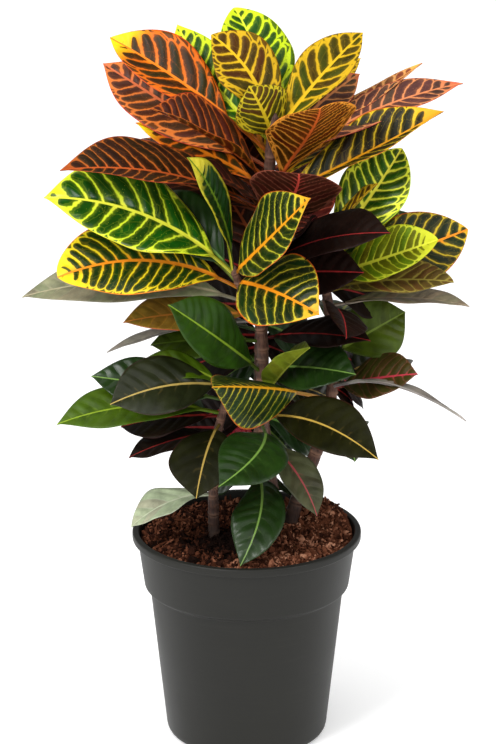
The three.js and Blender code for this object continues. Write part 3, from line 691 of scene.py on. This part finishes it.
FRONT_LEAVES = [
    ("curled", 447, (-49, -88, 563), 42, 0.03, 0.08, -75),
    ("bottle", 447, (-84, -8, 514), 58, 0.05, 0, -45),
    ("lemon", 446, (-171, -85, 528), 86, 0.04, 0.09, -50),
    ("sunny", 431, (-160, -95, 461), 78, 0.05, 0.1, -45),
    ("grey_purple", 416, (-196, -45, 430), 62, 0.11, 0, -28),
    ("orange_ribbed", 447, (53, -100, 531), 72, 0.03, 0.03, 68, 22, 0.05),
    ("orange_ribbed", 438, (62, -95, 428), 80, 0.1, 0, 40, 18, 0.02),
    ("olive_brown", 403, (-107, -62, 412), 51, 0.06, 0, -30),
    ("silver", 400, (-125, -15, 371), 34, 0.05, 0, 0),
    ("moss", 380, (-86, -10, 376), 54, 0.04, 0, -30),
    ("plain_green", 350, (-66, -100, 438), 58, 0.02, 0, -78),
    ("olive_fold", 326, (54, -80, 395), 46, 0.03, 0, 20, 40),
    ("umber_green", 308, (113, -120, 306), 57, 0.08, -0.06, 44, 28),
    ("bottle", 303, (-24, -130, 285), 62, 0.1, -0.12, -20, 18, 0.2),
    ("grey_green", 288, (63, -58, 231), 42, 0.15, 0, 10),
    ("bottle", 256, (-6, -88, 195), 50, 0.12, -0.12, 0, 18, 0.06),
    ("spotted", 438, (-112, 48, 488), 54, 0.08, 0, 0),
    ("night", 414, (-60, 52, 396), 54, 0.04, 0, -60, 18, 0.04),
    ("bottle", 390, (-76, 42, 384), 52, 0.04, 0, 0),
    # dark leaves between the stems
    ("crimson", 284, (-16, -58, 304), 26, 0.04, 0, -70),
]
RIGHT_LEAVES = [
    ("lime_dark", 452, (138, 35, 545), 66, 0.05, 0.045, 45, 18, 0.12),
    ("bronze", 456, (114, -8, 523), 36, 0.05, 0, 20),
    ("spotted", 440, (150, 66, 478), 56, 0.08, 0, 20),
    ("netted", 428, (198, 26, 473), 70, 0.06, 0.02, 60),
    ("olive_under", 432, (166, -40, 480), 56, 0.04, 0.03, 55, 28),
    ("brown_under", 420, (181, -35, 441), 52, 0.05, 0, 22),
    ("grey_purple", 406, (198, -10, 412), 48, 0.06, 0, 4),
    ("night", 406, (86, -84, 404), 46, 0.08, 0, -30),
    ("moss", 360, (143, 20, 398), 62, 0.03, 0, 60),
    ("red_spotted", 329, (151, -36, 357), 52, 0.03, 0, 42),
    ("silver", 331, (196, -35, 313), 26, 0.16, 0.24, -10),
    ("branched", 318, (-29, -115, 370), 68, 0.04, 0, -45, -35, 0.33),
    ("bottle", 305, (98, -20, 269), 42, 0.1, 0, 0),
    ("gilded", 430, (118, 118, 452), 54, 0.08, 0, 0),
    ("night", 424, (124, 48, 400), 54, 0.05, 0, 55, 18, 0.04),
    ("night", 342, (106, 60, 304), 50, 0.05, 0, 60, 18, 0.04),
    ("mahogany", 406, (60, 130, 424), 54, 0.1, 0, 0),
    ("spotted", 372, (102, 138, 368), 54, 0.12, 0, 0),
    ("bottle", 352, (92, 150, 338), 54, 0.1, 0, 0),
    ("black_green", 330, (154, 84, 330), 52, 0.12, 0, 0),
    ("bottle", 288, (100, 96, 262), 50, 0.06, 0, 0),
    # dark leaves between the stems
    ("night", 362, (100, 58, 338), 50, 0.04, 0, 60, 18, 0.04),
    ("night", 330, (98, 40, 306), 50, 0.04, 0, 60, 18, 0.04),
]
LOW_LEAVES = [
    ("black_green", 345, (-118, -90, 346), 60, 0.08, 0.05, -45),
    ("bottle", 333, (-138, -30, 353), 50, 0.03, 0, -45),
    ("fresh_green", 343, (-107, -30, 352), 36, 0.24, 0, -30),
    ("fresh_green", 321, (-167, -60, 318), 52, 0.06, 0.05, -30),
    ("night", 318, (-113, -25, 304), 54, 0.06, 0, -30),
    ("night", 302, (-105, -45, 282), 42, 0.06, 0, -15),
    ("umber_green", 312, (-44, -100, 263), 64, 0.12, 0, 0),
    ("pale_under", 240, (-104, -45, 216), 54, 0.11, 0, -5),
    ("bottle", 300, (-98, 62, 292), 50, 0.12, 0, 0),
    ("black_green", 266, (-66, 80, 246), 48, 0.06, 0, 0),
    # dark leaves between the stems
    ("night", 306, (-72, 10, 291), 46, 0.04, 0, -60, 18, 0.04),
]
LEAVES = {"tall": TALL_LEAVES, "front": FRONT_LEAVES, "right": RIGHT_LEAVES, "low": LOW_LEAVES}
GROUPS = {
    # piece: the stem, its first row here, the row after its last, and the rows and columns of a blade
    "tall_crown_leaves": ("tall", 0, 16, 84, 21),
    "tall_lower_leaves": ("tall", 16, 31, 64, 17),
    "tall_back_leaves": ("tall", 31, 44, 56, 17),
    "tall_hidden_leaves": ("tall", 44, 56, 56, 17),
    "front_crown_leaves": ("front", 0, 7, 84, 21),
    "front_lower_leaves": ("front", 7, 20, 64, 17),
    "right_crown_leaves": ("right", 0, 8, 84, 21),
    "right_lower_leaves": ("right", 8, 23, 64, 17),
    "low_leaves": ("low", 0, 11, 64, 17),
}


def leaf_line(foot, tip, bow, sway, turn, u):
    """The arched line of a leaf, from foot (u = 0) to tip (u = 1): a straight line plus 4u(1 - u) times
    its rise. Gives its points, the directions out of the upper face, those across the blade, and the
    length."""
    length = np.linalg.norm(tip - foot)
    along = (tip - foot) / length
    upper = unit(np.array([0, 0, 1.0]) - along * along[2])
    angle = math.radians(turn)
    upper = upper * math.cos(angle) + np.cross(along, upper) * math.sin(angle)
    rise = (bow * upper + sway * np.cross(along, upper)) * length
    centre = foot + along * (u * length) + rise * (4 * u * (1 - u))
    tangent = unit(along * length + rise * (4 * (1 - 2 * u)))
    normal = unit(upper - tangent * (tangent @ upper)[:, None])
    return centre, normal, np.cross(tangent, normal), length


def blade(foot, row, index, taper, rows, columns):
    """Upper and lower points of one leaf on a grid of u along it and v across it (-1 to 1), and its
    vein coordinates for the left and for the right half.
    Half the width is W/2 sin(pi q^1.2)^p over the blade's own length q, with p rising from 0.7 to 1.1 at
    a pointed tip, and rising less or falling at a blunt one. The lift is the fold, less the curl v^2,
    plus a wave at the margin and the quilting between the veins. A vein leaves the midrib slantwise and
    bends on towards the tip."""
    look, _, tip, width, bow, sway, turn, *rest = row
    fold, stalk = (*rest, *(FOLD, STALK)[len(rest) :])
    fold = math.radians(fold)
    q_rows = 1 - (1 - np.linspace(0, 1, rows - STALK_ROWS)) ** 1.2
    stalk_rows = np.linspace(0, stalk, STALK_ROWS + 1)[:-1]
    u = np.concatenate([stalk_rows, stalk + (1 - stalk) * q_rows])[:, None]
    v = np.linspace(-1, 1, columns)[None]
    centre, normal, across, length = leaf_line(foot, np.array(tip, float), bow, sway, turn, u)
    q = np.clip((u - stalk) / (1 - stalk), 0, 1)
    wide = width / 2 * np.sin(math.pi * q**WIDEST) ** (FULLNESS + taper * q**4)
    half = np.hypot(STALK_RADIUS * (1 - q), wide) + LEAST_WIDTH
    side = np.abs(v)
    off = side * half

    # the veins
    spacing = LOOKS[look][4]
    along = q * length * (1 - stalk) / spacing
    wander = VEIN_WANDER[0] * np.sin(0.9 * along + index) + VEIN_WANDER[1] * np.sin(2.1 * along + 2 * index)
    vein = along - (VEIN_SLOPE + VEIN_BEND * side) * off / spacing + wander
    veins = np.stack([vein, vein + VEIN_OFFSET + 0.1 * np.sin(1.3 * along + index)])

    # the upper face
    stalky = 1 - np.clip(8 * q, 0, 1)
    crease = np.sqrt(v * v + CREASE**2) - CREASE
    wave = MARGIN_WAVE * np.sin(2 * math.pi * MARGIN_WAVES * u + PHASE_STEP * index + v) * side**3
    plump = np.sin(math.pi * side) * np.clip(12 * q * (1 - q), 0, 1) * np.clip(half / QUILTED_WIDTH, 0, 1)
    quilt = -QUILTING * np.cos(2 * math.pi * np.where(v < 0, veins[0], veins[1])) * plump
    groove = -GROOVE_DEPTH * np.exp(-((off / GROOVE_WIDTH) ** 2)) * (1 - stalky)
    round_edge = np.sqrt(1 - 0.98 * v * v)
    round_top = STALK_RADIUS * (round_edge - 1) * stalky
    lift = half * (crease * math.sin(fold) - CURL * v * v + wave) + quilt + groove + round_top
    upper = centre[:, None] + across[:, None] * (v * half * math.cos(fold))[..., None]
    upper = upper + normal[:, None] * lift[..., None]

    # the lower face
    rib = (RIB_HEIGHT - 1.1 * q) * np.exp(-((off / (RIB_WIDTH - 1.4 * q)) ** 2))
    thickness = (BLADE_THICKNESS * (1 - 0.6 * side**6) + rib) * (1 - stalky)
    thickness = thickness + stalky * (0.2 + 2 * STALK_RADIUS * round_edge)
    lower = upper - normal[:, None] * thickness[..., None]
    return upper, lower, q + 0 * v, side + 0 * u, veins, off / spacing


def blade_faces(rows, columns):
    """Faces of one closed leaf: its upper face, its lower face, and the narrow rim round them. Also
    gives the half of the leaf, 0 or 1, that each face lies in."""
    top = np.arange(rows * columns).reshape(rows, columns)
    low = top + rows * columns
    middle = (np.arange(columns - 1) >= (columns - 1) / 2).astype(int)
    halves = np.repeat(middle[None], rows - 1, axis=0).ravel()
    upper = np.stack([top[:-1, :-1], top[:-1, 1:], top[1:, 1:], top[1:, :-1]], -1).reshape(-1, 4)
    lower = np.stack([low[:-1, :-1], low[1:, :-1], low[1:, 1:], low[:-1, 1:]], -1).reshape(-1, 4)
    left = np.stack([top[:-1, 0], top[1:, 0], low[1:, 0], low[:-1, 0]], -1)
    right = np.stack([top[:-1, -1], low[:-1, -1], low[1:, -1], top[1:, -1]], -1)
    foot = np.stack([top[0, :-1], low[0, :-1], low[0, 1:], top[0, 1:]], -1)
    tip = np.stack([top[-1, :-1], top[-1, 1:], low[-1, 1:], low[-1, :-1]], -1)
    faces = np.vstack([upper, lower, left, right, foot, tip])
    sides = np.concatenate([halves, halves, 0 * left[:, 0], 0 * right[:, 0] + 1, middle, middle])
    return faces, sides


def leaf_colours(look, count, chance):
    """The five colours of each face of a leaf, with a number kept as the fourth value of each: fill of
    the cells, strength of the veins, width of the midrib, width of the margin, and start of the tip.
    Every leaf is a little warmer or cooler than its look."""
    above, fill, strength, tip_start, spacing, _, below = LOOKS[look]
    rib_width = (1.0 + 1.1 * strength) / spacing
    cells, veins, rib = below.split()
    warm = 1 + chance.uniform(-0.09, 0.09, 3)
    tables = []
    for codes, start in ((above.split(), tip_start), ((cells, veins, rib, veins, veins), NO_TIP)):
        numbers = (fill, strength, rib_width, MARGINS.get(look, MARGIN), start)
        table = [[*(np.array(tint(code)[:3]) * warm), number] for code, number in zip(codes, numbers)]
        tables.append(np.repeat(np.array(table)[:, None], count, axis=1))
    return np.concatenate(tables, axis=1)


def waxy_leaf():
    """The leaf's own skin, drawn from its vein coordinates. In each space between two veins lies a long
    cell with a round outer end, and small many-sided cells lie outside those. What is left is vein, and
    it is thin near the foot of a leaf whose tip colour begins early. The midrib, margin and tip are
    coloured over that, and faint veins are let through by strength."""
    leaf = Finish("waxy croton leaf", 0.4)

    def maths(operation, first, second=0.0, third=0.0):
        return leaf.node("Math", {"operation": operation}, _0=first, _1=second, _2=third).outputs[0]

    def times(first, second):
        return maths("MULTIPLY", first, second)

    def less(first, second):
        return maths("SUBTRACT", first, second)

    def line(value, slope, start):
        """The value times the slope, plus the start."""
        return maths("MULTIPLY_ADD", value, slope, start)

    def smooth(value, start, end):
        """A soft step from 0 at the start to 1 at the end."""
        settings = {"interpolation_type": "SMOOTHSTEP"}
        return leaf.node("MapRange", settings, _0=value, _1=start, _2=end).outputs[0]

    def scaled(colour, factor):
        return leaf.node("VectorMath", {"operation": "SCALE"}, _0=colour, Scale=factor).outputs[0]

    def drawn(number):
        """A random value from 0 to 1 that belongs to the number."""
        return leaf.node("TexWhiteNoise", {"noise_dimensions": "1D"}, W=number).outputs["Value"]

    def on_blade(layer):
        spot = leaf.node("UVMap", {"uv_map": layer}).outputs[0]
        return leaf.node("SeparateXYZ", Vector=spot).outputs[:2]

    def kept(name):
        colour = leaf.node("Attribute", {"attribute_name": name})
        return colour.outputs["Color"], colour.outputs["Alpha"]

    # q runs along the blade and w from the midrib to the margin. Along counts the veins, and off is
    # the distance from the midrib, in spaces between two veins.
    q, w = on_blade("blade")
    along, off = on_blade("net")
    cells, fill = kept("cells")
    veins, strength = kept("veins")
    rib, rib_width = kept("rib")
    edge, edge_width = kept("edge")
    tip, tip_start = kept("tip")

    # one long cell between each two veins
    drift = line(leaf.noise(leaf.place, 160.0, 2.0), 0.34, -0.17)
    count = maths("ADD", along, drift)
    whole = maths("FLOOR", count)
    out = line(drift, 0.6, off)
    reach = maths("DIVIDE", off, maths("MAXIMUM", w, 0.04))
    flood = smooth(q, tip_start, maths("ADD", tip_start, 0.22))
    thinner = times(times(smooth(q, 0.55, 0.1), smooth(tip_start, 1.0, 0.75)), less(1.0, fill))
    grown = line(thinner, 0.8, times(fill, line(flood, -1.15, 1.0)))
    radius = times(times(grown, 0.5), line(w, 0.16, 0.9))
    middle = maths("ABSOLUTE", less(maths("FRACT", count), 0.5))
    longer = maths("MINIMUM", line(drawn(whole), 0.1, line(fill, 2.4, -1.32)), 1.0)
    end = less(times(reach, times(longer, line(flood, -0.6, 1.0))), radius)
    past = maths("MAXIMUM", less(out, end), 0.0)
    from_end = leaf.node("CombineXYZ", _0=middle, _1=past).outputs[0]
    from_line = leaf.node("VectorMath", {"operation": "LENGTH"}, _0=from_end).outputs["Value"]
    long_cell = less(from_line, radius)
    cell = smooth(long_cell, 0.03, -0.07)

    # small cells beyond the long ones
    net_place = leaf.node("CombineXYZ", _0=times(count, 1.3), _1=times(out, 1.2)).outputs[0]
    net = leaf.node("TexVoronoi", {"feature": "DISTANCE_TO_EDGE"}, Vector=net_place, Scale=1.0)
    from_wall = net.outputs["Distance"]
    wall = less(1.0, grown)
    half_wall = times(wall, 0.42)
    small_cell = smooth(from_wall, half_wall, maths("ADD", half_wall, 0.08))
    outer = smooth(long_cell, times(wall, 0.75), line(wall, 0.75, 0.1))
    covered = maths("MAXIMUM", cell, times(small_cell, outer))

    # the colours, from the cells up to the margin
    clouds = leaf.noise(leaf.place, 55.0, 5.0, 0.6)
    mottled = scaled(cells, leaf.ranged(clouds, 0.3, 0.7, 0.75, 1.8))
    own = drawn(maths("ADD", whole, 0.37))
    tinge = leaf.ramp(own, (0.0, (1.0, 0.62, 0.6, 1)), (1.0, (0.62, 1.0, 0.55, 1)))
    tinged = leaf.node("VectorMath", {"operation": "MULTIPLY"}, _0=mottled, _1=tinge).outputs[0]
    skin = leaf.blend(times(strength, strength), mottled, tinged)
    glow = times(smooth(long_cell, -0.28, 0.0), times(strength, 0.12))
    skin = leaf.blend(glow, skin, veins)
    threads = times(smooth(from_wall, 0.05, 0.0), times(strength, 0.08))
    skin = leaf.blend(threads, skin, veins)
    from_fleck = leaf.node("TexVoronoi", Vector=leaf.place, Scale=330.0).outputs["Distance"]
    flecks = times(smooth(from_fleck, 0.16, 0.06), times(strength, 0.3))
    skin = leaf.blend(flecks, skin, veins)
    outwards = maths("MAXIMUM", smooth(w, 0.0, 0.3), less(1.0, strength))
    netting = leaf.blend(flood, leaf.blend(outwards, rib, veins), tip)
    skin = leaf.blend(times(less(1.0, covered), strength), skin, netting)
    narrow = times(rib_width, line(q, -0.72, 1.05))
    skin = leaf.blend(smooth(off, times(narrow, 1.3), times(narrow, 0.75)), skin, rib)
    skin = leaf.blend(smooth(q, 0.06, 0.0), skin, scaled(rib, 0.4))
    rim = smooth(w, less(1.0, edge_width), line(edge_width, -0.4, 1.0))
    leaf.wear("Base Color", leaf.blend(rim, skin, edge))

    # the sheen and the relief
    gloss = leaf.node("Attribute", {"attribute_name": "gloss"}).outputs["Fac"]
    leaf.wear("Roughness", line(gloss, -0.36, line(clouds, 0.1, 0.5)))
    leaf.wear("Specular IOR Level", line(gloss, 0.42, 0.03))
    pores = leaf.noise(leaf.place, 700.0, 2.0)
    leaf.bump(line(pores, 0.25, times(covered, 0.6)), 0.35, 0.0004)
    return leaf.material


def leafy_piece(name, stem_name, first, last, rows, columns, material):
    """All the leaves of one group as one mesh of closed leaves, with their vein coordinates and their
    colours kept on it."""
    line = along_stem(STEMS[stem_name][0], np.linspace(0, 1, LINE_POINTS))
    faces, sides = blade_faces(rows, columns)
    size = rows * columns
    corner = faces % size
    points, all_faces, places, nets, colours, glosses = [], [], [], [], [], []
    for index in range(first, last):
        row = LEAVES[stem_name][index]
        foot = np.array([np.interp(row[1], line[:, 2], line[:, axis]) for axis in range(3)])
        taper = TAPERS.get((stem_name, index), TAPER)
        upper, lower, q, w, veins, off = blade(foot, row, index, taper, rows, columns)
        all_faces.append(faces + 2 * size * (index - first))
        points.append(np.concatenate([upper.reshape(-1, 3), lower.reshape(-1, 3)]))
        places.append(np.stack([q.ravel()[corner], w.ravel()[corner]], axis=-1))
        net = veins.reshape(2, -1)[sides[:, None], corner]
        nets.append(np.stack([net, off.ravel()[corner]], axis=-1))
        chance = np.random.default_rng(1000 * len(stem_name) + index)
        colours.append(leaf_colours(row[0], size, chance))
        gloss = LOOKS[row[0]][5]
        glosses.append(np.repeat([gloss, UNDER_GLOSS * gloss], size))
    made = piece(name, np.concatenate(points), np.concatenate(all_faces), material)
    for layer, values in (("blade", places), ("net", nets)):
        flat = np.ravel(np.concatenate(values)).astype(np.float32)
        made.data.uv_layers.new(name=layer).data.foreach_set("uv", flat)
    for layer, values in zip(("cells", "veins", "rib", "edge", "tip"), np.concatenate(colours, axis=1)):
        keep(made, layer, values, "FLOAT_COLOR", "color")
    keep(made, "gloss", np.concatenate(glosses))


leaf_finish = waxy_leaf()
for group_name, group in GROUPS.items():
    leafy_piece(group_name, *group, leaf_finish)


# The studio
# A plain white floor that gives a little light of its own, under a soft white sky. A wide overcast sun
# shines from above, a large soft lamp stands to the front left, and a weaker one to the right. The
# camera stands two metres away and looks a little down.

FLOOR_GLOW = 0.25
SKY_LIGHT = 0.32
CAMERA_PLACE = (0.0012, -2.1, 0.997)
CAMERA_PITCH = 17.19
CAMERA_LENS = 118.3
CAMERA_SENSOR = 36
LAMPS = {
    # kind, place and aim in metres, strength, and width: an angle for the sun, metres for a lamp
    "sky": ("SUN", (-1.0, -1.8, 3.2), (0, 0, 0), 2.4, math.radians(110)),
    "key": ("AREA", (-1.2, -1.5, 1.7), (0, 0, 0.42), 30, 0.7),
    "fill": ("AREA", (1.7, -1.2, 1.1), (0, 0, 0.35), 14, 0.9),
}


def white_paper():
    """White paper with a hardly visible grain, lit a little from inside."""
    paper = Finish("white paper", 0.9, 0.1)
    grain = paper.noise(paper.place, 400.0, 2.0)
    white = paper.ramp(grain, (0.0, (0.94, 0.94, 0.94, 1)), (1.0, (0.97, 0.97, 0.97, 1)))
    paper.wear("Base Color", white)
    paper.shader.inputs["Emission Color"].default_value = (1, 1, 1, 1)
    paper.shader.inputs["Emission Strength"].default_value = FLOOR_GLOW
    return paper.material


def lamp(name, kind, place, aim, energy, size):
    """One lamp at a place, in metres, that shines at a point."""
    light = bpy.data.lights.new(name, kind)
    light.energy = energy
    setattr(light, "size" if kind == "AREA" else "angle", size)
    made = put(name, light)
    made.location = place
    aimed = np.array(aim) - np.array(place)
    pitch = math.atan2(math.hypot(aimed[0], aimed[1]), -aimed[2])
    made.rotation_euler = (pitch, 0, math.atan2(aimed[1], aimed[0]) - math.pi / 2)


floor_mesh = bpy.data.meshes.new("studio_floor")
floor_mesh.from_pydata([(-20, -20, 0), (20, -20, 0), (20, 20, 0), (-20, 20, 0)], [], [(0, 1, 2, 3)])
floor_mesh.materials.append(white_paper())
floor = put("studio_floor", floor_mesh)

world = bpy.data.worlds.new("studio")
world.use_nodes = True
world.node_tree.nodes["Background"].inputs["Color"].default_value = (1, 1, 1, 1)
world.node_tree.nodes["Background"].inputs["Strength"].default_value = SKY_LIGHT
bpy.context.scene.world = world

for lamp_name, lamp_setting in LAMPS.items():
    lamp(lamp_name, *lamp_setting)

eye = bpy.data.cameras.new("camera")
eye.sensor_fit = "VERTICAL"
eye.sensor_height = CAMERA_SENSOR
eye.lens = CAMERA_LENS
camera = put("camera", eye)
camera.location = CAMERA_PLACE
camera.rotation_euler = (math.radians(90 - CAMERA_PITCH), 0, 0)
bpy.context.scene.camera = camera
bpy.context.scene.view_settings.view_transform = "Standard"
